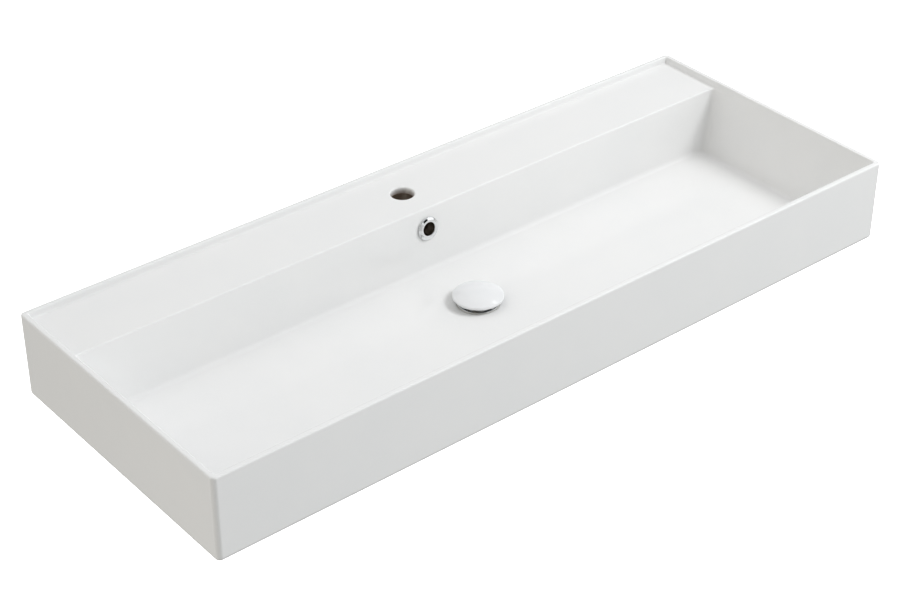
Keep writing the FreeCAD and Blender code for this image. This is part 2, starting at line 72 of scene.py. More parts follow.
def row(co):
    co = np.array(co, float).reshape(-1, 3) * 0.001
    co[:, 2] -= FOOT_TO_ORIGIN * 0.001
    return co


# ---------------------------------------------------------------------------
# Mesh helpers
# ---------------------------------------------------------------------------
def link(name, verts, faces, in_mm=True):
    me = bpy.data.meshes.new(name)
    me.from_pydata([tuple(v) for v in (row(verts) if in_mm else verts)], [], faces)
    me.update()
    o = bpy.data.objects.new(name, me)
    bpy.context.scene.collection.objects.link(o)
    return o


def settle(o, angle=34.0, weld=1e-6, outward=True):
    """Welds the mesh, turns its faces outward and smooths all but the sharp edges."""
    bm = bmesh.new()
    bm.from_mesh(o.data)
    if weld:
        bmesh.ops.remove_doubles(bm, verts=bm.verts, dist=weld)
    if outward:
        bmesh.ops.recalc_face_normals(bm, faces=bm.faces)
    for f in bm.faces:
        f.smooth = True
    limit = math.radians(angle)
    for e in bm.edges:
        e.smooth = len(e.link_faces) != 2 or e.calc_face_angle(0.0) < limit
    bm.to_mesh(o.data)
    bm.free()
    o.data.update()
    return o


def combine(o, tool, operation):
    m = o.modifiers.new("cut", "BOOLEAN")
    m.operation = operation
    m.solver = "MANIFOLD"
    m.object = tool
    dg = bpy.context.evaluated_depsgraph_get()
    me = bpy.data.meshes.new_from_object(o.evaluated_get(dg))
    o.modifiers.clear()
    old = o.data
    o.data = me
    bpy.data.meshes.remove(old)
    gone = tool.data
    bpy.data.objects.remove(tool)
    bpy.data.meshes.remove(gone)
    return o


def hull(name, points, bevel=0.0, segments=3):
    """Convex solid round these points (mm), its edges rounded by bevel."""
    bm = bmesh.new()
    for p in row(points):
        bm.verts.new(p)
    bmesh.ops.convex_hull(bm, input=bm.verts)
    bmesh.ops.dissolve_limit(bm, angle_limit=math.radians(0.5), verts=bm.verts, edges=bm.edges)
    if bevel:
        bmesh.ops.bevel(bm, geom=list(bm.edges), offset=bevel * 0.001, segments=segments, profile=0.5,
                        affect="EDGES", offset_type="OFFSET")
    bmesh.ops.recalc_face_normals(bm, faces=bm.faces)
    me = bpy.data.meshes.new(name)
    bm.to_mesh(me)
    bm.free()
    o = bpy.data.objects.new(name, me)
    bpy.context.scene.collection.objects.link(o)
    return o


def block(name, x0, x1, y0, y1, z0, z1, bevel=0.0):
    return hull(name, [(x, y, z) for x in (x0, x1) for y in (y0, y1) for z in (z0, z1)], bevel)


def drum(name, r, z0, z1, x=0.0, y=WST_Y, seg=96, axis="Z"):
    """Cylinder (mm) between two ends along an axis."""
    a = np.arange(seg) * 2 * math.pi / seg
    c, s = r * np.cos(a), r * np.sin(a)
    if axis == "Z":
        low = np.stack([x + c, y + s, np.full(seg, z0)], 1)
        high = np.stack([x + c, y + s, np.full(seg, z1)], 1)
    else:
        low = np.stack([x + c, np.full(seg, z0), y + s], 1)
        high = np.stack([x + c, np.full(seg, z1), y + s], 1)
    faces = [[k, (k + 1) % seg, seg + (k + 1) % seg, seg + k] for k in range(seg)]
    faces += [list(range(seg))[::-1], list(range(seg, 2 * seg))]
    o = link(name, np.concatenate([low, high]), faces)
    bm = bmesh.new()
    bm.from_mesh(o.data)
    bmesh.ops.recalc_face_normals(bm, faces=bm.faces)
    bm.to_mesh(o.data)
    bm.free()
    return o


def arc(p, mid, q, n=8):
    """Points after p up to q on the circle through p, mid and q."""
    (ax, ay), (bx, by), (cx, cy) = p, mid, q
    d = 2 * (ax * (by - cy) + bx * (cy - ay) + cx * (ay - by))
    ux = ((ax * ax + ay * ay) * (by - cy) + (bx * bx + by * by) * (cy - ay) + (cx * cx + cy * cy) * (ay - by)) / d
    uy = ((ax * ax + ay * ay) * (cx - bx) + (bx * bx + by * by) * (ax - cx) + (cx * cx + cy * cy) * (bx - ax)) / d
    r = math.hypot(ax - ux, ay - uy)
    a0 = math.atan2(ay - uy, ax - ux)
    am = (math.atan2(by - uy, bx - ux) - a0 + math.pi) % (2 * math.pi) - math.pi
    a1 = (math.atan2(cy - uy, cx - ux) - a0 + math.pi) % (2 * math.pi) - math.pi
    if am * a1 < 0:
        a1 += 2 * math.pi if am > 0 else -2 * math.pi
    return [(ux + r * math.cos(a0 + a1 * k / n), uy + r * math.sin(a0 + a1 * k / n)) for k in range(1, n + 1)]


def soften(points, radius=0.2, n=4):
    """Closed outline with its corners rounded. A point's third number is its own
    radius, and 0 leaves it as it is."""
    out = []
    m = len(points)
    for k in range(m):
        p, q, s = (np.array(points[(k + d) % m][:2], float) for d in (-1, 0, 1))
        r = points[k][2] if len(points[k]) > 2 else radius
        a, b = p - q, s - q
        la, lb = np.linalg.norm(a), np.linalg.norm(b)
        if r <= 0 or la < 1e-9 or lb < 1e-9:
            out.append(tuple(q))
            continue
        a, b = a / la, b / lb
        half = 0.5 * math.acos(max(-1.0, min(1.0, float(a @ b))))
        if half > math.radians(86) or half < math.radians(4):
            out.append(tuple(q))
            continue
        t = min(r / math.tan(half), 0.45 * la, 0.45 * lb)
        r = t * math.tan(half)
        mid_dir = (a + b) / np.linalg.norm(a + b)
        c = q + mid_dir * (r / math.sin(half))
        v0, v1 = q + a * t - c, q + b * t - c
        a0 = math.atan2(v0[1], v0[0])
        sweep = (math.atan2(v1[1], v1[0]) - a0 + math.pi) % (2 * math.pi) - math.pi
        out += [(c[0] + r * math.cos(a0 + sweep * i / n), c[1] + r * math.sin(a0 + sweep * i / n))
                for i in range(n + 1)]
    return out


def turned(name, outline, seg=128, x=0.0, y=WST_Y, bend=None):
    """Body of revolution of a closed (radius, height) outline, in mm. bend(r, z, a)
    may change the radius, as for a screw thread."""
    pts = [outline[0]]
    for p in outline[1:]:
        if math.hypot(p[0] - pts[-1][0], p[1] - pts[-1][1]) > 1e-4:
            pts.append(p)
    if math.hypot(pts[0][0] - pts[-1][0], pts[0][1] - pts[-1][1]) < 1e-4:
        pts.pop()
    a = np.arange(seg) * 2 * math.pi / seg
    verts, rings = [], []
    for r, z in pts:
        if r < 1e-6:
            rings.append([len(verts)])
            verts.append((x, y, z))
        else:
            rr = np.full(seg, r) if bend is None else bend(r, z, a)
            rings.append(list(range(len(verts), len(verts) + seg)))
            verts += [(x + rr[k] * math.cos(a[k]), y + rr[k] * math.sin(a[k]), z) for k in range(seg)]
    faces = []
    for k in range(len(rings)):
        p, q = rings[k], rings[(k + 1) % len(rings)]
        if len(p) == 1 and len(q) == 1:
            continue
        for i in range(seg):
            j = (i + 1) % seg
            if len(p) == 1:
                faces.append([p[0], q[i], q[j]])
            elif len(q) == 1:
                faces.append([p[i], q[0], p[j]])
            else:
                faces.append([p[i], q[i], q[j], p[j]])
    o = link(name, verts, faces)
    bm = bmesh.new()
    bm.from_mesh(o.data)
    bmesh.ops.recalc_face_normals(bm, faces=bm.faces)
    bm.to_mesh(o.data)
    bm.free()
    return o


# ---------------------------------------------------------------------------
# Shape of the casting seen from above, as a height over its plan
# ---------------------------------------------------------------------------
def pair(a, b, g):
    """Length of the offset from two planes whose normals have the dot product g."""
    both = (a > g * b) & (b > g * a)
    return np.where(both, np.sqrt(np.maximum(a * a + b * b - 2 * g * a * b, 0) / (1 - g * g)), np.maximum(a, b))


def trio(a, b, c, gab, gac, gbc):
    best = np.maximum(np.maximum(pair(a, b, gab), pair(a, c, gac)), pair(b, c, gbc))
    inv = np.linalg.inv(np.array([[1, gab, gac], [gab, 1, gbc], [gac, gbc, 1]]))
    la, lb, lc = (inv[k, 0] * a + inv[k, 1] * b + inv[k, 2] * c for k in range(3))
    ok = (la > 0) & (lb > 0) & (lc > 0)
    return np.where(ok, np.sqrt(np.maximum(a * la + b * lb + c * lc, 0)), best)


N_SIDE, N_BACK, N_FRONT, N_LIP = (math.hypot(1, s) for s in (SIDE, BACK, FRONT, LIP_SLOPE))


def floor_z(x, y):
    """The bowl's floor: level along the walls, with a slight even fall to the waste."""
    y_hi = -DECK_FRONT - BACK * (DECK_Z - BOWL_FOOT_Z) - DISH_INSET
    y_lo = -(BASIN_D - RIM_T) + FRONT * (BASIN_H - BOWL_FOOT_Z) + DISH_INSET
    x_hi = HALF_W - RIM_T - SIDE * (BASIN_H - BOWL_FOOT_Z) - DISH_INSET
    u = np.abs(x) / x_hi
    v = np.where(y > WST_Y, (y - WST_Y) / (y_hi - WST_Y), (WST_Y - y) / (WST_Y - y_lo))
    t = (np.abs(u) ** 5 + np.abs(v) ** 5) ** 0.2
    s = 1 - t
    return BOWL_FOOT_Z - (BOWL_FOOT_Z - BOWL_LOW_Z) * 0.5 * (s + np.sqrt(s * s + 0.006))


def solid_depth(x, y, z, fz):
    d_side = (HALF_W - RIM_T - SIDE * (BASIN_H - z) - np.abs(x)) / N_SIDE
    d_back = (-DECK_FRONT - BACK * (DECK_Z - z) - y) / N_BACK
    d_front = (y + (BASIN_D - RIM_T) - FRONT * (BASIN_H - z)) / N_FRONT
    d_lip = (-RIM_T - LIP_SLOPE * (BASIN_H - z) - y) / N_LIP
    g_side, g_back, g_front, g_lip = SIDE / N_SIDE, BACK / N_BACK, FRONT / N_FRONT, LIP_SLOPE / N_LIP
    # the upright corners open out towards the floor, then the foot runs round them
    rc = R_CORNER_LOW + (R_CORNER_TOP - R_CORNER_LOW) * (z - BOWL_FOOT_Z) / (BASIN_H - BOWL_FOOT_Z)
    r = R_BOWL
    rise = r - (z - fz)
    bowl = None
    for d_end, g_end in ((d_back, g_back), (d_front, g_front)):
        a, b = rc - d_side, rc - d_end
        wall = rc - pair(a, b, g_side * g_end)
        a, b = np.maximum(a, 1e-6), np.maximum(b, 1e-6)
        g_wall = (a * g_side + b * g_end) / np.hypot(a, b)
        part = r - pair(r - wall, rise, g_wall)
        bowl = part if bowl is None else np.minimum(bowl, part)
    r = R_DECK_FOOT
    deck = r - trio(r - d_side, r - d_lip, r - (z - DECK_Z), g_side * g_lip, g_side, g_lip)
    deck = np.minimum(deck, y + DECK_FRONT + 40.0)
    r = R_DECK_EDGE
    solid = r - pair(r + bowl, r + deck, g_back)
    r = R_RIM_IN
    near_y = np.minimum(d_front, d_lip)
    w = np.clip((near_y - d_side) / 8.0 * 0.5 + 0.5, 0, 1)
    w = w * w * (3 - 2 * w)
    g = 0.12 + (g_side - 0.12) * w
    return r - pair(r - (BASIN_H - z), r - solid, g)


def height(x, y):
    x, y = np.broadcast_arrays(np.asarray(x, float), np.asarray(y, float))
    fz = floor_z(x, y)
    lo, hi = np.full(x.shape, 14.0), np.full(x.shape, BASIN_H + 1.0)
    for _ in range(34):
        mid = 0.5 * (lo + hi)
        inside = solid_depth(x, y, mid, fz) > 0
        lo, hi = np.where(inside, mid, lo), np.where(inside, hi, mid)
    return 0.5 * (lo + hi)


def lines(*spans):
    """Grid lines: spans of (start, end, number of cells)."""
    out = [spans[0][0]]
    for a, b, n in spans:
        out += [a + (b - a) * k / n for k in range(1, n + 1)]
    return out


def eased(a, b, n, dense):
    """Grid lines crowding towards the dense end, as round a fillet."""
    t = np.arange(1, n + 1) / n
    w = 1 - np.cos(t * math.pi / 2) if dense == "start" else np.sin(t * math.pi / 2)
    return list(a + (b - a) * w)


# centres of the rounded corners' plan arcs, and the radius of the top's own arc
CORNER_X, CORNER_BACK, CORNER_FRONT = HALF_W - R_VERT, -R_VERT, -(BASIN_D - R_VERT)
CORNER_R = R_VERT - R_TOP
half_x = lines((0, 25, 10), (25, 60, 10), (60, 525, 57), (525, 548, 23), (548, 559, 24), (559, 585, 38),
               (585, 590.5, 15), (590.5, CORNER_X, 6), (CORNER_X, 593.8, 7), (593.8, HALF_W - R_TOP, 8))
GX = np.array([-v for v in half_x[:0:-1]] + half_x)
GY = lines((-BASIN_D + R_TOP, -454.1, 8), (-454.1, CORNER_FRONT, 10), (CORNER_FRONT, -451.7, 2), (-451.7, -442.0, 28))
GY += eased(-442.0, -433.8, 18, "start")
GY += lines((-433.8, -414, 18), (-414, -299, 15), (-299, -179, 34), (-179, -158, 4), (-158, -138.5, 18))[1:]
GY += eased(-138.5, -130.2, 20, "end")
y65 = -DECK_FRONT - BACK * (DECK_Z - (OVF_Z - 25))
y115 = -DECK_FRONT - BACK * (DECK_Z - (OVF_Z + 25))
GY += lines((-130.2, y65, 12), (y65, y115, 16), (y115, -120.28, 2))[1:]
GY += eased(-120.28, -117.4, 10, "start")
GY += lines((-117.4, -89.5, 7), (-89.5, -39.5, 20), (-39.5, -12.2, 7))[1:]
GY += eased(-12.2, -9.05, 10, "end")
GY += lines((-9.05, -8.32, 5), (-8.32, CORNER_BACK, 3), (CORNER_BACK, -6.0, 10), (-6.0, -R_TOP, 8))[1:]
GY = np.array(GY)


def where(arr, v):
    k = int(np.argmin(np.abs(arr - v)))
    assert abs(arr[k] - v) < 1e-6, v
    return k


def make_casting():
    nx, ny = len(GX), len(GY)
    X, Y = np.meshgrid(GX, GY, indexing="ij")
    # the four corners of the rim's top are round in plan
    for sx in (1, -1):
        for cy, sy in ((CORNER_BACK, 1), (CORNER_FRONT, -1)):
            u = np.clip((sx * X - CORNER_X) / CORNER_R, 0, None)
            v = np.clip(sy * (Y - cy) / CORNER_R, 0, None)
            m = (u > 1e-9) & (v > 1e-9)
            k = np.maximum(u, v) / np.maximum(np.hypot(u, v), 1e-9)
            X = np.where(m, sx * (CORNER_X + CORNER_R * u * k), X)
            Y = np.where(m, cy + sy * CORNER_R * v * k, Y)
    Z = height(X, Y)
    verts = [tuple(p) for p in np.stack([X, Y, Z], 2).reshape(-1, 3)]

    def at(i, j):
        return i * ny + j

    holes = {
        "waste": (where(GX, -60), where(GX, 60), where(GY, -299), where(GY, -179)),
        "tap": (where(GX, -25), where(GX, 25), where(GY, -89.5), where(GY, -39.5)),
        "overflow": (where(GX, -25), where(GX, 25), where(GY, y65), where(GY, y115)),
    }
    cut = np.zeros((nx - 1, ny - 1), bool)
    for i0, i1, j0, j1 in holes.values():
        cut[i0:i1, j0:j1] = True
    faces = [[at(i, j), at(i + 1, j), at(i + 1, j + 1), at(i, j + 1)]
             for i in range(nx - 1) for j in range(ny - 1) if not cut[i, j]]

    def rim_of(i0, i1, j0, j1):
        return ([at(i, j0) for i in range(i0, i1)] + [at(i1, j) for j in range(j0, j1)]
                + [at(i, j1) for i in range(i1, i0, -1)] + [at(i0, j) for j in range(j1, j0, -1)])

    def strip(outer, points):
        start = len(verts)
        verts.extend(tuple(p) for p in points)
        inner = list(range(start, start + len(points)))
        n = len(inner)
        for k in range(n):
            faces.append([outer[k], outer[(k + 1) % n], inner[(k + 1) % n], inner[k]])
        return inner

    # tap hole: a rounded glazed edge, then a straight bore
    loop = rim_of(*holes["tap"])
    P = np.array([verts[k] for k in loop])
    ang = np.arctan2(P[:, 1] - TAP_Y, P[:, 0])
    dirs = np.stack([np.cos(ang), np.sin(ang), 0 * ang], 1)
    c = np.array([0, TAP_Y, 0.0])
    r_out = TAP_R + TAP_EDGE_R
    ring0 = c + dirs * r_out + [0, 0, DECK_Z]
    for t in (0.35, 0.65, 0.88, 1.0):
        loop = strip(loop, P * (1 - t) + ring0 * t)
    for k in range(1, 9):
        f = math.radians(90 * k / 8)
        loop = strip(loop, c + dirs * (r_out - TAP_EDGE_R * math.sin(f))
                     + [0, 0, DECK_Z - TAP_EDGE_R * (1 - math.cos(f))])
    for z in (118.0, 114.0, 112.0, 104.0):
        loop = strip(loop, c + dirs * TAP_R + [0, 0, z])
    faces.append(list(loop))

    # waste: soft edge, recess and conical seat
    loop = rim_of(*holes["waste"])
    P = np.array([verts[k] for k in loop])
    ang = np.arctan2(P[:, 1] - WST_Y, P[:, 0])
    ca, sa = np.cos(ang), np.sin(ang)

    def at_r(r, z=None):
        x, y = r * ca, WST_Y + r * sa
        return np.stack([x, y, floor_z(x, y) if z is None else z], 1)

    r_edge = SEAT_R + 2.6
    reach = np.hypot(P[:, 0], P[:, 1] - WST_Y)
    for t in (0.2, 0.4, 0.6, 0.78, 0.9, 1.0):
        r = reach * (1 - t) + r_edge * t
        loop = strip(loop, at_r(r))
    zf = at_r(r_edge)[:, 2]
    for k in range(1, 9):
        f = math.radians(90 * k / 8)
        loop = strip(loop, at_r(r_edge - 2.6 * math.sin(f), zf - 2.0 * (1 - math.cos(f))))
    for r, z in ((SEAT_R, 17.5), (SEAT_R - 0.15, 17.15), (SEAT_R - 0.5, 17.0), (SEAT_OUT_R, 17.0),
                 (28.5, seat_z(28.5)), (26.0, seat_z(26.0)), (23.6, seat_z(23.6)), (23.1, seat_z(23.6) - 0.4),
                 (23.0, 12.2), (23.0, 8.0), (23.0, 3.0)):
        loop = strip(loop, at_r(r, np.full(len(ang), z)))
    faces.append(list(loop))

    # overflow hole, square to the bowl's back wall
    loop = rim_of(*holes["overflow"])
    P = np.array([verts[k] for k in loop])
    c = np.array([0, -DECK_FRONT - BACK * (DECK_Z - OVF_Z), OVF_Z])
    up = np.array([0, BACK, 1]) / N_BACK
    nrm = np.array([0, -1, BACK]) / N_BACK
    s = (P - c) @ up
    ang = np.arctan2(s, P[:, 0])
    dirs = np.outer(np.cos(ang), [1, 0, 0]) + np.outer(np.sin(ang), up)
    for r, t, b in ((13.2, -0.0, 0.4), (13.2, 0.0, 0.75), (13.2, 0.0, 1.0), (12.6, -0.1, 1), (12.2, -0.4, 1),
                    (12.0, -1.0, 1), (12.0, -6.0, 1), (12.0, -14.5, 1)):
        loop = strip(loop, P * (1 - b) + (c + dirs * r + nrm * t) * b)
    faces.append(list(loop))

    # the outside: rounded rim edge, apron and rounded foot
    loop = rim_of(0, nx - 1, 0, ny - 1)
    P = np.array([verts[k] for k in loop])
    qx = np.clip(np.abs(P[:, 0]) - CORNER_X, 0, None) * np.sign(P[:, 0])
    qy = np.clip(P[:, 1] - CORNER_BACK, 0, None) + np.clip(P[:, 1] - CORNER_FRONT, None, 0)
    n = np.stack([qx, qy, 0 * qx], 1)
    n /= np.linalg.norm(n, axis=1)[:, None]
    base = P * [1, 1, 0]
    rings = []
    for k in range(1, 8):
        f = math.radians(90 * k / 7)
        rings.append((R_TOP * math.sin(f), BASIN_H - R_TOP * (1 - math.cos(f))))
    top, low = BASIN_H - R_TOP, R_FOOT
    rings += [(R_TOP, top - d) for d in (1.0, 3.5)]
    rings += [(R_TOP, z) for z in np.linspace(top - 8, low + 8, 12)]
    rings += [(R_TOP, low + d) for d in (3.5, 1.0, 0.0)]
    for k in range(1, 8):
        f = math.radians(90 * k / 7)
        rings.append((R_TOP - R_FOOT * (1 - math.cos(f)), low - R_FOOT * math.sin(f)))
    for off, z in rings:
        start = len(verts)
        q = base + n * off + [0, 0, z]
        verts.extend(tuple(p) for p in q)
        new = list(range(start, start + len(q)))
        m = len(new)
        for k in range(m):
            faces.append([new[k], new[(k + 1) % m], loop[(k + 1) % m], loop[k]])
        loop = new
    faces.append(list(loop)[::-1])

    # drop the grid points inside the three openings
    used = np.zeros(len(verts), bool)
    for f in faces:
        used[f] = True
    new = np.cumsum(used) - 1
    verts = [v for v, u in zip(verts, used) if u]
    faces = [[int(new[k]) for k in f] for f in faces]
    o = link("basin_ceramic", verts, faces)

    # hollow underside, the duct, the boss, the webs and the wall fixings
    def y_rear(z):
        return -DECK_FRONT - BACK * (DECK_Z - z) + WALL_T * N_BACK

    def x_out(z):
        return HALF_W - RIM_T - SIDE * (BASIN_H - z) + WALL_T * N_SIDE

    xi, low, yf = HALF_W - WALL_T, DECK_Z - DECK_T, -(BASIN_D - FOOT_FRONT)
    hollow = hull("hollow", [(x, y, z) for x in (-xi, xi)
                             for y, z in ((-WALL_T, -6), (-WALL_T, low), (y_rear(low), low), (y_rear(-6), -6))], 3.0)
    hollow = combine(hollow, block("under", -xi, xi, yf, -WALL_T - 30, -6, CAVITY_Z, 2.5), "UNION")
    zj = BASIN_H - (HALF_W - RIM_T - (xi - WALL_T * N_SIDE)) / SIDE - 2.0
    for sx in (1, -1):
        pts = [(sx * xi, y, z) for y in (yf, -WALL_T - 36) for z in (-6, zj)]
        pts += [(sx * x_out(z), y, z) for y in (yf, -WALL_T - 36) for z in (-6, zj)]
        hollow = combine(hollow, hull("side", pts, 0.0), "UNION")
    keep = hull("leg", [(x, y_rear(z) + d, z) for x in (-31, 31) for z in (-1, low + 2) for d in (-3, 18)], 3.0)
    keep = combine(keep, block("run", -25, 25, WST_Y, y_rear(0) + 18, -1, CAVITY_Z + 3, 1.5), "UNION")
    keep = combine(keep, drum("boss", 40.0, -1, CAVITY_Z + 3, seg=128), "UNION")
    for sx in (1, -1):
        keep = combine(keep, block("web", sx * 330 - 6, sx * 330 + 6, -DECK_FRONT - 3, -WALL_T + 3, 26, low + 4,
                                   2.0), "UNION")
    # nothing of the pieces left standing reaches below the foot
    keep = combine(keep, block("below", -60, 60, -400, 0, -20, 0), "DIFFERENCE")
    hollow = combine(hollow, keep, "DIFFERENCE")
    o = combine(o, hollow, "DIFFERENCE")
    duct = hull("duct", [(x, y, z) for x in (-24, 24) for y, z in (
        (y_rear(104), 104), (y_rear(104) + 11, 104), (y_rear(4.5) + 11, 4.5), (y_rear(4.5), 4.5))], 1.5)
    duct = combine(duct, block("duct_low", -18, 18, WST_Y, y_rear(4.5) + 10, 4.5, 11.0), "UNION")
    o = combine(o, duct, "DIFFERENCE")
    o = combine(o, drum("waste_bore", 23.35, -3, 6.2, seg=128), "DIFFERENCE")
    for sx in (1, -1):
        o = combine(o, drum("fixing", 9.0, -16.0, 4.0, x=sx * 140.0, y=FOOT_TO_ORIGIN, seg=72, axis="Y"),
                    "DIFFERENCE")
    settle(o, 30.0, weld=2e-6, outward=False)
    return o


def faces_inside(o):
    """Faces of the hollow underside, which the glaze doesn't reach; they take the body colour darkened as painted
    shade.
    """
    me = o.data
    n = len(me.polygons)
    c = np.zeros(n * 3)
    me.polygons.foreach_get("center", c)
    c = c.reshape(-1, 3) * 1000.0
    c[:, 2] += FOOT_TO_ORIGIN
    plan = (np.abs(c[:, 0]) < 588.3) & (c[:, 1] < -11.7) & (c[:, 1] > -446.3)
    top = height(c[:, 0], c[:, 1])
    under = c[:, 2] < np.minimum(top - 3.0, DECK_Z - DECK_T + 0.6)
    size = np.zeros(n)
    me.polygons.foreach_get("area", size)
    bore = (np.hypot(c[:, 0], c[:, 1] - WST_Y) < 36.0) & (size < 3e-4)
    return plan & under & ~bore


# ---------------------------------------------------------------------------
# Materials
# ---------------------------------------------------------------------------
class Mat:
    """A principled material whose colour, gloss and fine relief come from noise in
    the piece's own coordinates."""

    def __init__(self, name, metallic=0.0, ior=1.5):
        self.m = bpy.data.materials.new(name)
        self.m.use_nodes = True
        self.t = self.m.node_tree
        self.t.nodes.clear()
        self.out = self.t.nodes.new("ShaderNodeOutputMaterial")
        self.s = self.t.nodes.new("ShaderNodeBsdfPrincipled")
        self.t.links.new(self.s.outputs[0], self.out.inputs[0])
        self.s.inputs["Metallic"].default_value = metallic
        self.s.inputs["IOR"].default_value = ior
        self.co = self.t.nodes.new("ShaderNodeTexCoord").outputs["Object"]
        self.normal = None

    def node(self, kind, **props):
        n = self.t.nodes.new(kind)
        for k, v in props.items():
            setattr(n, k, v)
        return n

    def feed(self, target, value):
        if hasattr(value, "is_output"):
            self.t.links.new(value, target)
        else:
            target.default_value = value

    def stretch(self, x, y, z):
        n = self.node("ShaderNodeMapping")
        self.t.links.new(self.co, n.inputs["Vector"])
        n.inputs["Scale"].default_value = (x, y, z)
        return n.outputs[0]

    def noise(self, scale, detail=3.0, rough=0.55, co=None, distortion=0.0):
        n = self.node("ShaderNodeTexNoise")
        self.t.links.new(co or self.co, n.inputs["Vector"])
        n.inputs["Scale"].default_value = scale
        n.inputs["Detail"].default_value = detail
        n.inputs["Roughness"].default_value = rough
        n.inputs["Distortion"].default_value = distortion
        return n.outputs["Fac"]

    def spots(self, scale, co=None):
        n = self.node("ShaderNodeTexVoronoi")
        self.t.links.new(co or self.co, n.inputs["Vector"])
        n.inputs["Scale"].default_value = scale
        return n.outputs["Distance"]

    def span(self, value, a, b, lo, hi, smooth=True):
        n = self.node("ShaderNodeMapRange", interpolation_type="SMOOTHSTEP" if smooth else "LINEAR")
        self.feed(n.inputs["Value"], value)
        for k, v in zip(("From Min", "From Max", "To Min", "To Max"), (a, b, lo, hi)):
            self.feed(n.inputs[k], v)
        return n.outputs["Result"]

    def math(self, op, a, b=0.0, clamp=False):
        n = self.node("ShaderNodeMath", operation=op, use_clamp=clamp)
        self.feed(n.inputs[0], a)
        self.feed(n.inputs[1], b)
        return n.outputs[0]

    def mix(self, fac, a, b):
        n = self.node("ShaderNodeMix", data_type="RGBA")
        self.feed(n.inputs["Factor"], fac)
        for k, v in ((6, a), (7, b)):
            self.feed(n.inputs[k], v if hasattr(v, "is_output") else (*v, 1.0))
        return n.outputs[2]

    def colour(self, value):
        self.feed(self.s.inputs["Base Color"], value)
        return self

    def rough(self, value):
        self.feed(self.s.inputs["Roughness"], value)
        return self

    def relief(self, height_value, distance, strength=1.0):
        n = self.node("ShaderNodeBump")
        n.inputs["Strength"].default_value = 1.0
        self.feed(n.inputs["Strength"], strength)
        n.inputs["Distance"].default_value = distance
        self.t.links.new(height_value, n.inputs["Height"])
        if self.normal is not None:
            self.t.links.new(self.normal, n.inputs["Normal"])
        self.normal = n.outputs[0]
        self.t.links.new(self.normal, self.s.inputs["Normal"])
        return self


def glaze():
    """White glaze over the ceramic body: almost even, with faint clouding, a glassy
    gloss, slow waves and a fine orange skin. The back, which meets the wall, and the
    foot are bare. Down the bore of the tap hole the glaze is painted grey-brown as shade."""
    m = Mat("ceramic_glaze")
    clouds = m.noise(9.0, 3.0)
    grain = m.noise(420.0, 2.0)
    white = m.mix(m.span(clouds, 0.35, 0.65, 0, 1), WHITE_A, WHITE_B)
    white = m.mix(m.span(grain, 0.3, 0.7, 0.0, 0.35), white, WHITE_C)
    split = m.node("ShaderNodeSeparateXYZ")
    m.t.links.new(m.co, split.inputs[0])
    sx, sy, sz = split.outputs
    from_tap = m.node("ShaderNodeVectorMath", operation="DISTANCE")
    m.t.links.new(m.co, from_tap.inputs[0])
    from_tap.inputs[1].default_value = (0.0, TAP_Y * 0.001, (DECK_Z - FOOT_TO_ORIGIN - 5.0) * 0.001)
    # painted shade: the lower part of the tap hole's bore, below a wavy line, is darkened to grey-brown
    in_bore = m.span(from_tap.outputs["Value"], 0.0200, 0.0186, 0, 1)
    bore_shade_depth = m.math("ADD", sz, m.math("MULTIPLY", m.math("SUBTRACT", m.noise(90.0, 3.0), 0.5), 0.004))
    bore_shade_depth = m.span(bore_shade_depth, 0.0492, 0.0405, 0, 1)
    white = m.mix(m.math("MULTIPLY", in_bore, bore_shade_depth), white, (0.40, 0.365, 0.345))
    edge = m.math("MULTIPLY", m.math("SUBTRACT", m.noise(60.0, 4.0), 0.5), 0.006)
    ax = m.math("ADD", m.math("ABSOLUTE", sx), edge)
    back = m.math("MULTIPLY", m.span(sy, -0.0008, -0.0003, 0, 1), m.span(ax, 0.5905, 0.5885, 0, 1))
    zz = m.math("ADD", sz, edge)
    back = m.math("MULTIPLY", back, m.span(zz, 0.0505, 0.0485, 0, 1))
    foot = m.span(m.math("ADD", sz, m.math("MULTIPLY", edge, 0.12)), -0.0703, -0.0708, 0, 1)
    bare = m.math("MAXIMUM", back, foot)
    body = m.mix(m.span(m.noise(35.0, 5.0), 0.35, 0.65, 0, 1), (0.60, 0.53, 0.44), (0.70, 0.64, 0.55))
    body = m.mix(m.span(m.spots(500.0), 0.0, 0.16, 0.55, 0.0), body, (0.42, 0.34, 0.26))
    m.colour(m.mix(bare, white, body))
    gloss = m.span(m.noise(24.0, 4.0), 0.3, 0.7, 0.055, 0.105)
    n = m.node("ShaderNodeMix", data_type="FLOAT")
    m.feed(n.inputs["Factor"], bare)
    m.feed(n.inputs[2], gloss)
    m.feed(n.inputs[3], 0.82)
    m.rough(n.outputs[0])
    m.relief(m.noise(16.0, 2.0), 0.00022)
    m.relief(m.noise(260.0, 2.0), 0.000010)
    m.relief(m.noise(900.0, 4.0), 0.00012, bare)
    return m.m


def cap_glaze():
    """The waste cap's own white glaze, a shade cooler than the basin's."""
    m = Mat("cap_glaze")
    m.colour(m.mix(m.span(m.noise(28.0, 3.0), 0.35, 0.65, 0, 1), CAP_A, CAP_B))
    m.rough(m.span(m.noise(60.0, 4.0), 0.3, 0.7, 0.05, 0.10))
    m.relief(m.noise(40.0, 2.0), 0.00008)
    m.relief(m.noise(420.0, 2.0), 0.000008)
    return m.m


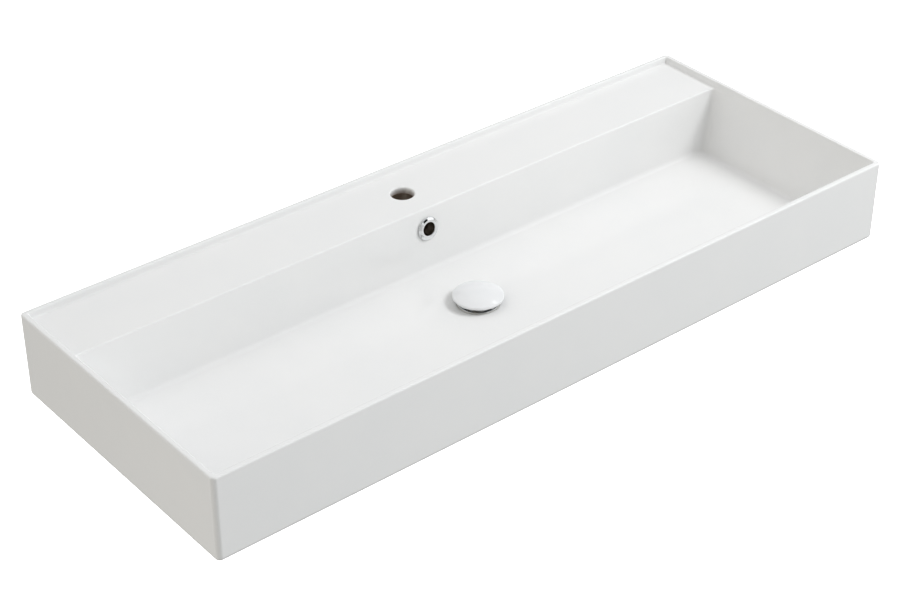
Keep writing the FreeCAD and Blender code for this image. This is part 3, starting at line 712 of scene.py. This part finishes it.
def shaded_biscuit():
    """The ceramic body without glaze, inside the hollow underside, its colour darkened far below the bare back's clay
    as painted shade in the hollow.
    """
    m = Mat("ceramic_body_shaded", ior=1.45)
    clouds = m.noise(14.0, 5.0)
    c = m.mix(m.span(clouds, 0.3, 0.7, 0, 1), SHADED_BODY_A, SHADED_BODY_B)
    c = m.mix(m.span(m.spots(420.0), 0.0, 0.18, 0.6, 0.0), c, (0.20, 0.145, 0.10))
    drip = m.noise(30.0, 3.0, co=m.stretch(1, 1, 0.12))
    c = m.mix(m.span(drip, 0.6, 0.74, 0.0, 0.35), c, (0.66, 0.61, 0.54))
    m.colour(c)
    m.rough(m.span(m.noise(90.0), 0.3, 0.7, 0.72, 0.92))
    m.relief(m.noise(20.0, 3.0), 0.0005)
    m.relief(m.noise(700.0, 4.0), 0.00010)
    return m.m


def chrome(name="chrome", tint=(0.80, 0.81, 0.82), rough=(0.05, 0.11)):
    m = Mat(name, metallic=1.0)
    c = m.mix(m.span(m.noise(60.0, 4.0), 0.35, 0.65, 0, 1), tint, tuple(0.94 * v for v in tint))
    m.colour(c)
    wipe = m.noise(180.0, 5.0, co=m.stretch(1.0, 1.0, 0.2))
    m.rough(m.span(wipe, 0.35, 0.75, *rough))
    m.relief(m.noise(500.0, 3.0), 0.000004)
    m.relief(m.noise(2600.0, 3.0, co=m.stretch(1.0, 0.08, 1.0)), 0.0000012)
    return m.m


def brass():
    m = Mat("brass", metallic=1.0)
    c = m.mix(m.span(m.noise(120.0, 5.0), 0.35, 0.65, 0, 1), (0.78, 0.57, 0.27), (0.62, 0.43, 0.19))
    c = m.mix(m.span(m.noise(45.0, 6.0), 0.58, 0.72, 0, 0.6), c, (0.36, 0.24, 0.13))
    m.colour(c)
    m.rough(m.span(m.noise(300.0, 4.0), 0.3, 0.7, 0.22, 0.42))
    m.relief(m.noise(2200.0, 3.0, co=m.stretch(1, 1, 8)), 0.000006)
    return m.m


def steel():
    m = Mat("steel", metallic=1.0)
    m.colour(m.mix(m.span(m.noise(200.0, 4.0), 0.3, 0.7, 0, 1), (0.58, 0.57, 0.55), (0.47, 0.47, 0.46)))
    m.rough(m.span(m.noise(700.0, 3.0, co=m.stretch(1, 1, 6)), 0.3, 0.7, 0.20, 0.38))
    m.relief(m.noise(2600.0, 2.0, co=m.stretch(1, 1, 10)), 0.000004)
    return m.m


def rubber():
    m = Mat("rubber", ior=1.45)
    m.colour(m.mix(m.span(m.noise(90.0, 4.0), 0.3, 0.7, 0, 1), (0.026, 0.026, 0.028), (0.045, 0.044, 0.044)))
    m.rough(m.span(m.noise(400.0, 4.0), 0.3, 0.7, 0.55, 0.78))
    m.relief(m.noise(1800.0, 4.0), 0.00002)
    return m.m


def plastic(name="plastic", a=(0.70, 0.69, 0.66), b=(0.62, 0.61, 0.58)):
    m = Mat(name, ior=1.48)
    m.colour(m.mix(m.span(m.noise(110.0, 3.0), 0.3, 0.7, 0, 1), a, b))
    m.rough(m.span(m.noise(500.0, 3.0), 0.3, 0.7, 0.32, 0.46))
    m.relief(m.noise(1500.0, 2.0), 0.000008)
    return m.m


WHITE_A, WHITE_B, WHITE_C = (0.858, 0.862, 0.860), (0.873, 0.874, 0.870), (0.885, 0.886, 0.883)
# painted shade: the hollow's body colours, far darker than the bare clay of the back and foot
SHADED_BODY_A, SHADED_BODY_B = (0.25, 0.185, 0.14), (0.33, 0.255, 0.20)
CAP_A, CAP_B = (0.830, 0.840, 0.852), (0.842, 0.852, 0.862)
GLAZE, SHADED_BISCUIT, CHROME, BRASS, STEEL, RUBBER = glaze(), shaded_biscuit(), chrome(), brass(), steel(), rubber()
PLASTIC = plastic()
PLASTIC_GREY = plastic("plastic_grey", (0.40, 0.41, 0.42), (0.34, 0.35, 0.36))


def dress(o, material):
    o.data.materials.clear()
    o.data.materials.append(material)
    return o


def piece(o, material, slot_name, body, *nodes):
    dress(o, material)
    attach(o, body)
    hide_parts(*nodes)
    return o


# ---------------------------------------------------------------------------
# The casting
# ---------------------------------------------------------------------------
basin = make_casting()
inside = faces_inside(basin)
piece(basin, GLAZE, "ceramic", "basin", "basin_body")
# the hollow underside takes the body material darkened as painted shade
basin.data.materials.append(SHADED_BISCUIT)
basin.data.polygons.foreach_set("material_index", inside.astype(np.int32))
basin.data.update()
m = basin.modifiers.new("normals", "WEIGHTED_NORMAL")
m.keep_sharp = True
m.weight = 60

# ---------------------------------------------------------------------------
# Overflow trim, drawn about +Z and turned to stand on the bowl's back wall
# ---------------------------------------------------------------------------
TILT = math.acos(BACK / N_BACK)
WALL_FRAME = (Matrix.Translation(Vector(row([(0, -DECK_FRONT - BACK * (DECK_Z - OVF_Z), OVF_Z)])[0]))
              @ Matrix.Rotation(TILT, 4, "X"))


def on_wall(o):
    o.data.transform(Matrix.Translation((0, 0, FOOT_TO_ORIGIN * 0.001)))
    o.data.transform(WALL_FRAME)
    o.data.update()
    return o


R, B, T0, T1 = 18.0, 10.5, 0.8, 4.2
prof = [(B, -11.0), (11.6, -11.0), (11.75, -10.8), (11.75, T0), (R - 0.3, T0)]
prof += arc((R - 0.3, T0), (R - 0.09, T0 + 0.09), (R, T0 + 0.3), 4) + [(R, T0 + 1.2)]
prof += arc((R, T0 + 1.2), (R - 0.30, T0 + 1.72), (R - 1.0, T0 + 2.05), 10)
prof += [(R - 1.8, T0 + 2.42), (R - 2.7, T1 - 0.56), (R - 3.6, T1 - 0.18)]
prof += arc((R - 3.6, T1 - 0.18), (R - 4.2, T1 - 0.03), (R - 4.9, T1), 8) + [(B + 0.9, T1)]
prof += arc((B + 0.9, T1), (B + 0.25, T1 - 0.3), (B, T1 - 1.0), 8) + [(B, -4.0)]
ring = settle(on_wall(turned("overflow_trim", prof, 160, 0, 0)))
piece(ring, CHROME, "chrome", "basin", "overflow_ring")
seal = turned("overflow_gasket", soften([(12.2, 0), (16.4, 0), (16.4, 0.8), (12.2, 0.8)], 0.25), 128, 0, 0)
piece(settle(on_wall(seal)), RUBBER, "rubber", "basin", "overflow_ring_seal")

# ---------------------------------------------------------------------------
# Waste: fixed pieces
# ---------------------------------------------------------------------------
FLANGE_TOP = 21.1
PITCH, DEPTH = 2.309, 1.35


def throat_z(r):
    return FLANGE_TOP - 0.6 - 0.55 * (27.5 - r)


def thread(r, z, a):
    if abs(r - 20.95) > 0.02:
        return np.full(len(a), r)
    fade = min(1.0, max(0.0, (z + 51.2) / 1.2)) * min(1.0, max(0.0, (1.5 - z) / 2.0))
    p = (z / PITCH - a / (2 * math.pi)) % 1.0
    tri = 1 - np.abs(2 * p - 1)
    tri = np.clip((tri - 0.12) / 0.76, 0, 1)
    tri = tri * tri * (3 - 2 * tri) * 0.35 + tri * 0.65
    return r - DEPTH * fade * tri


outline = [(18.0, -52.0), (19.6, -52.0)] + arc((19.6, -52.0), (19.85, -51.9), (20.0, -51.6), 3)
outline += [(20.949, -50.9)]
outline += [(20.95, z) for z in np.linspace(-50.8, -24.0, 154)]
outline += [(19.7, -23.7), (19.7, -22.8)]
outline += [(20.95, z) for z in np.linspace(-22.5, 1.5, 138)]
outline += [(20.951, 2.0), (20.951, 11.5), (22.0, 11.5)]
z = seat_z(FLANGE_R - 0.5) + 1.5
outline += [(22.0, seat_z(22.0) + 1.5), (FLANGE_R - 0.5, z)]
outline += arc((FLANGE_R - 0.5, z), (FLANGE_R - 0.15, z + 0.15), (FLANGE_R, z + 0.5), 4)
outline += [(FLANGE_R, FLANGE_TOP - 0.8)] + arc((FLANGE_R, FLANGE_TOP - 0.8), (FLANGE_R - 0.235, FLANGE_TOP - 0.235),
                                                (FLANGE_R - 0.8, FLANGE_TOP), 8)
outline += [(28.7, FLANGE_TOP)] + arc((28.7, FLANGE_TOP), (28.0, FLANGE_TOP - 0.17), (27.5, FLANGE_TOP - 0.6), 6)
outline += [(r, throat_z(r)) for r in np.linspace(26.5, 18.6, 8)]
outline += arc((18.6, throat_z(18.6)), (18.15, throat_z(18.0) - 0.15), (18.0, throat_z(18.0) - 0.8), 4)
outline += [(18.0, 0.0), (18.0, -30.0)]
waste = turned("waste_flange_and_tube", outline, 144, bend=thread)
for half_x_, half_y_ in ((7.5, 24.0), (24.0, 7.5)):
    waste = combine(waste, block("slot", -half_x_, half_x_, WST_Y - half_y_, WST_Y + half_y_, 2.5, 10.5),
                    "DIFFERENCE")
hub = turned("hub", soften([(8.5, -14), (12, -14), (12, -6), (8.5, -6)], 0.5), 96)
for a in (90, 210, 330):
    d = Vector((math.cos(math.radians(a)), math.sin(math.radians(a)), 0))
    n = Vector((-d.y, d.x, 0))
    pts = [(d.x * r + n.x * w, WST_Y + d.y * r + n.y * w, z) for r in (10.0, 18.8) for w in (-2, 2) for z in (-14, -7)]
    hub = combine(hub, hull("arm", pts, 0.3), "UNION")
waste = combine(waste, hub, "UNION")
piece(settle(waste, 32.0), CHROME, "chrome", "basin", "waste_body")


def lathe_piece(name, outline, material, slot_name, body, node, seg=128, radius=0.2, angle=34.0):
    o = turned(name, soften(outline, radius), seg)
    return piece(settle(o, angle), material, slot_name, body, node)


rf, rl, ro = FLANGE_R - 0.5, FLANGE_R + 0.06, SEAT_R - 0.2
lathe_piece("top_gasket_ring", [(23.3, seat_z(23.3), 0.1), (SEAT_OUT_R, 17.0, 0.1), (ro, 17.0, 0.1),
                                (ro, FLANGE_TOP - 0.3, 0.25), (rl, FLANGE_TOP - 0.3, 0.2),
                                (rl, seat_z(rf) + 2.06, 0.05), (rf, seat_z(rf) + 1.5, 0.05),
                                (23.3, seat_z(23.3) + 1.5, 0.1)], PLASTIC, "plastic", "basin", "top_gasket")
lathe_piece("bottom_gasket_ring", [(21.1, 0, 0.2), (31.0, 0, 0.4), (31.0, -2.5, 0.8), (25.5, -11.0, 0.8),
                                   (21.1, -11.0, 0.2)], RUBBER, "rubber", "basin", "bottom_gasket")
lathe_piece("slip_ring", [(21.2, -12.5), (29.0, -12.5), (29.0, -11.0), (21.2, -11.0)], PLASTIC, "plastic",
            "basin", "slip_washer", radius=0.35)
r6 = 54.0 / math.sqrt(3.0)
hexa = [(r6 * math.cos(math.radians(60 * k + 30)), WST_Y + r6 * math.sin(math.radians(60 * k + 30)), z)
        for k in range(6) for z in (-21.5, -12.5)]
nut = hull("back_nut_hex", hexa)
trim = turned("trim", [(0, -21.9), (26.9, -21.9), (27.3, -21.5), (27.9, -21.2), (31.6, -19.1), (31.6, -14.9),
                       (27.9, -12.8), (27.3, -12.5), (26.9, -12.1), (0, -12.1)], 144)
nut = combine(nut, trim, "INTERSECT")
nut = combine(nut, turned("bore", [(0, -23), (22.4, -23), (22.4, -21.6), (21.0, -20.2), (21.0, -13.6), (21.8, -12.4),
                                   (21.8, -11), (0, -11)], 128), "DIFFERENCE")
bm = bmesh.new()
bm.from_mesh(nut.data)
bmesh.ops.remove_doubles(bm, verts=bm.verts, dist=2e-6)
bm.to_mesh(nut.data)
bm.free()
piece(settle(nut, 24.0), BRASS, "brass", "basin", "back_nut")

lathe_piece("latch_guide", [(3.08, 5.0), (9.5, 5.0), (9.5, 7.0, 0.5), (8.6, 8.0, 0.4), (3.08, 8.0, 0.3)], PLASTIC,
            "plastic", "basin", "latch_cap", 96)
lathe_piece("housing_washer_ring", [(8.55, -6.0), (11.6, -6.0), (11.6, -5.0), (8.55, -5.0)], PLASTIC, "plastic",
            "basin", "housing_washer", 96)

# spring: round wire, its end turns closed and lying flat
TURNS, N_T, N_C = 6.5, 520, 16
z_lo, z_hi, r_s, r_w = -13.5, 1.45, 6.1, 0.5
t = np.linspace(0, TURNS, N_T)
dead = 0.9
rise = np.clip(np.minimum(t / dead, (TURNS - t) / dead), 0, 1) ** 2
speed = 1.02 + rise * 3.2
z = np.concatenate([[0], np.cumsum(0.5 * (speed[1:] + speed[:-1]) * np.diff(t))])
z = z_lo + (z_hi - z_lo) * z / z[-1]
a = 2 * math.pi * t
verts = []
for k in range(N_T):
    c = np.array([r_s * math.cos(a[k]), WST_Y + r_s * math.sin(a[k]), z[k]])
    out = np.array([math.cos(a[k]), math.sin(a[k]), 0])
    for i in range(N_C):
        w = 2 * math.pi * i / N_C
        verts.append(c + out * r_w * math.cos(w) + np.array([0, 0, 1]) * r_w * math.sin(w))
faces = [[k * N_C + i, k * N_C + (i + 1) % N_C, (k + 1) * N_C + (i + 1) % N_C, (k + 1) * N_C + i]
         for k in range(N_T - 1) for i in range(N_C)]
faces += [list(range(N_C)), [(N_T - 1) * N_C + i for i in range(N_C)]]
spring = settle(link("plunger_spring_coil", verts, faces), 40)
piece(spring, STEEL, "steel", "basin", "plunger_spring")
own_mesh(spring)

# ---------------------------------------------------------------------------
# Plug
# ---------------------------------------------------------------------------
CAP_R, CAP_Z, CAP_H = 37.5, 29.3, 12.2
edge_r = 2.4
cx, cz, crown = CAP_R - edge_r, CAP_Z + edge_r, CAP_Z + CAP_H
k = crown - edge_r
c0 = (cx * cx + cz * cz - k * k) / (2.0 * (cz - k))
big = crown - c0
lean = math.atan2(cz - c0, cx)
prof = [(10.2, CAP_Z + 4.2), (10.2, CAP_Z + 0.4), (10.6, CAP_Z), (cx, CAP_Z)]
prof += [(cx + edge_r * math.cos(w), cz + edge_r * math.sin(w)) for w in np.linspace(-math.pi / 2, lean, 14)[1:]]
prof += [(big * math.cos(w), c0 + big * math.sin(w)) for w in np.linspace(lean, math.pi / 2, 26)[1:-1]]
prof += [(0.0, crown), (0.0, CAP_Z + 4.2)]
cap = settle(turned("cap_dome", prof, 192))
piece(cap, cap_glaze(), "ceramic", "plug", "waste_cap")

lathe_piece("cap_threaded_insert", [(3.04, 28.3), (10.0, 28.3), (10.0, 32.9), (9.5, 33.4), (0, 33.4, 0),
                                    (0, 32.7, 0), (3.04, 32.7)], BRASS, "brass", "plug", "cap_insert", 96)
lathe_piece("cap_pad", [(10.4, 28.3), (19.0, 28.3), (19.0, 29.3), (10.4, 29.3)], RUBBER, "rubber", "plug",
            "cap_cushion", 96, 0.3)
lathe_piece("plug_disc", [(3.04, 25.3), (20.0, 25.3), (20.2, 25.5), (20.2, 26.0), (18.8, 26.0), (18.8, 27.4),
                          (20.6, 27.4), (20.6, 28.3), (3.04, 28.3)], CHROME, "chrome", "plug", "plug_plate", 128, 0.15)
lathe_piece("plug_sealing_ring", [(18.82, 26.02), (20.9, 26.02), (23.2, 26.2), (23.8, 26.4), (24.0, 26.8),
                                  (23.6, 27.2), (21.6, 27.38), (18.82, 27.38)], RUBBER, "rubber", "plug",
            "plug_seal", 128, 0.12)
lathe_piece("plunger_rod", [(0, -24.5, 0), (3.0, -24.5), (3.4, -24.1), (3.4, -23.0), (2.05, -23.0), (2.05, -16.0),
                            (3.0, -16.0), (3.0, 1.95), (6.3, 1.95), (6.6, 2.25), (6.6, 4.65), (6.3, 4.95),
                            (3.0, 4.95), (3.0, 31.8), (2.3, 32.5), (0, 32.5, 0)], STEEL, "steel", "plug",
            "plunger", 96, 0.1)

# ---------------------------------------------------------------------------
# CAD nodes that are shown as they are
# ---------------------------------------------------------------------------
for name, material in (("latch_housing", PLASTIC), ("latch_track", PLASTIC), ("latch_rotor", PLASTIC_GREY),
                       ("plug_lock_nut", BRASS)):
    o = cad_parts[name]
    o.data.materials.clear()
    o.data.materials.append(material)

# ---------------------------------------------------------------------------
# Floor, light, camera
# ---------------------------------------------------------------------------
FLOOR_Z = -0.79
bpy.ops.mesh.primitive_plane_add(size=40, location=(0, 0, FLOOR_Z))
floor = bpy.context.object
floor.name = "floor"
fm = bpy.data.materials.new("floor")
fm.use_nodes = True
ft = fm.node_tree
ft.nodes.clear()
f_out = ft.nodes.new("ShaderNodeOutputMaterial")
f_bsdf = ft.nodes.new("ShaderNodeBsdfPrincipled")
f_bsdf.inputs["Base Color"].default_value = (0.86, 0.86, 0.86, 1)
f_bsdf.inputs["Roughness"].default_value = 0.9
f_bsdf.inputs["Specular IOR Level"].default_value = 0.1
f_bsdf.inputs["Emission Color"].default_value = (1, 1, 1, 1)
f_bsdf.inputs["Emission Strength"].default_value = 1.0
f_clear = ft.nodes.new("ShaderNodeBsdfTransparent")
f_mix = ft.nodes.new("ShaderNodeMixShader")
f_geo = ft.nodes.new("ShaderNodeNewGeometry")
ft.links.new(f_geo.outputs["Backfacing"], f_mix.inputs[0])
ft.links.new(f_bsdf.outputs[0], f_mix.inputs[1])
ft.links.new(f_clear.outputs[0], f_mix.inputs[2])
ft.links.new(f_mix.outputs[0], f_out.inputs[0])
floor.data.materials.append(fm)
for ray in ("diffuse", "glossy", "transmission"):
    setattr(floor, "visible_" + ray, False)

# The studio round the object: soft lobes of light, each given by a direction, the
# cosines at which it starts and is full, and its red, green and blue strength.
LOBES = (
    ((0, 0, 1), -0.15, 0.15, (0.182, 0.185, 0.184)),
    ((0, 0, 1), -0.95, -0.15, (0.270, 0.267, 0.260)),
    ((0, 0, 1), 0.45, 0.95, (0.024, 0.021, 0.030)),
    ((-1, 0, 0), 0.40, 0.95, (-0.242, -0.254, -0.277)),
    ((-0.61, -0.67, 0.42), 0.60, 0.95, (-0.427, -0.427, -0.424)),
    ((-0.7, -0.7, 0.05), 0.50, 0.95, (-0.003, -0.005, -0.005)),
    ((0.1, 0.95, 0.3), 0.40, 0.95, (0.082, 0.091, 0.091)),
    ((0.1, -0.99, 0), 0.40, 0.95, (0.072, 0.085, 0.092)),
    ((0.65, -0.72, 0.1), 0.50, 0.95, (0.933, 0.944, 0.950)),
    ((0, 0, -1), 0.00, 0.7, (0.028, 0.028, 0.027)),
    ((-0.45, -0.33, 0.8), 0.94, 0.985, (-0.600, -0.600, -0.600)),
    ((0.3, -0.9, 0.31), 0.97, 0.99, (-1.500, -1.500, -1.500)),
    ((-0.85, 0, -0.5), 0.40, 0.95, (0.798, 0.789, 0.771)),
    ((-0.72, 0.1, 0.68), 0.50, 0.95, (0.719, 0.713, 0.696)),
    ((0.66, 0.2, 0.72), 0.50, 0.95, (-0.048, -0.047, -0.034)),
    ((-0.1, 0.7, 0.7), 0.50, 0.95, (0.043, 0.045, 0.050)),
)
world = bpy.data.worlds.new("studio")
bpy.context.scene.world = world
world.use_nodes = True
wt = world.node_tree
bg = wt.nodes["Background"]
bg.inputs["Strength"].default_value = 1.0
w_dir = wt.nodes.new("ShaderNodeTexCoord").outputs["Generated"]
total = None
for direction, lo, hi, strength in LOBES:
    n_dot = wt.nodes.new("ShaderNodeVectorMath")
    n_dot.operation = "DOT_PRODUCT"
    wt.links.new(w_dir, n_dot.inputs[0])
    n_dot.inputs[1].default_value = Vector(direction).normalized()
    n_map = wt.nodes.new("ShaderNodeMapRange")
    n_map.interpolation_type = "SMOOTHSTEP"
    wt.links.new(n_dot.outputs["Value"], n_map.inputs["Value"])
    n_map.inputs["From Min"].default_value = lo
    n_map.inputs["From Max"].default_value = hi
    n_mul = wt.nodes.new("ShaderNodeVectorMath")
    n_mul.operation = "SCALE"
    n_mul.inputs[0].default_value = strength
    wt.links.new(n_map.outputs["Result"], n_mul.inputs["Scale"])
    if total is None:
        total = n_mul.outputs[0]
    else:
        n_add = wt.nodes.new("ShaderNodeVectorMath")
        n_add.operation = "ADD"
        wt.links.new(total, n_add.inputs[0])
        wt.links.new(n_mul.outputs[0], n_add.inputs[1])
        total = n_add.outputs[0]
n_low = wt.nodes.new("ShaderNodeVectorMath")
n_low.operation = "MAXIMUM"
wt.links.new(total, n_low.inputs[0])
n_low.inputs[1].default_value = (0.01, 0.01, 0.01)
wt.links.new(n_low.outputs[0], bg.inputs["Color"])


def area(name, where_, at_, w, h, power, colour=(1, 1, 1)):
    d = bpy.data.lights.new(name, "AREA")
    d.shape = "RECTANGLE"
    d.size, d.size_y = w, h
    d.energy = power
    d.color = colour
    o = bpy.data.objects.new(name, d)
    bpy.context.scene.collection.objects.link(o)
    o.location = where_
    o.rotation_mode = "QUATERNION"
    o.rotation_quaternion = (Vector(at_) - Vector(where_)).to_track_quat("-Z", "Y")
    return o


key = area("key", (1.9, -1.9, 2.6), (0.0, -0.25, 0.0), 1.4, 1.2, 62.1, (0.990, 1.000, 1.009))
key.visible_glossy = False
# a far lamp seen only as the thin highlights along the edges and on the cap
glint = area("glint", (4.92, 0.385, 6.28), (0.0, -0.25, 0.0), 1.20, 1.27, 15.0)
glint.visible_diffuse = False

cam_data = bpy.data.cameras.new("camera")
cam = bpy.data.objects.new("camera", cam_data)
bpy.context.scene.collection.objects.link(cam)
cam_data.sensor_width = 36.0
cam_data.sensor_fit = "HORIZONTAL"
cam_data.lens = 2098.3 * 36.0 / 900.0
cam_data.clip_start, cam_data.clip_end = 0.05, 100.0
cam.location = (-1.62372, -2.16079, 1.62250)
az, el = math.radians(-39.2727), math.radians(33.8099)
fwd = Vector((-math.sin(az) * math.cos(el), math.cos(az) * math.cos(el), -math.sin(el)))
cam.rotation_mode = "QUATERNION"
cam.rotation_quaternion = fwd.to_track_quat("-Z", "Y")
bpy.context.scene.camera = cam

bpy.context.scene.view_settings.view_transform = "Standard"
bpy.context.scene.view_settings.look = "None"
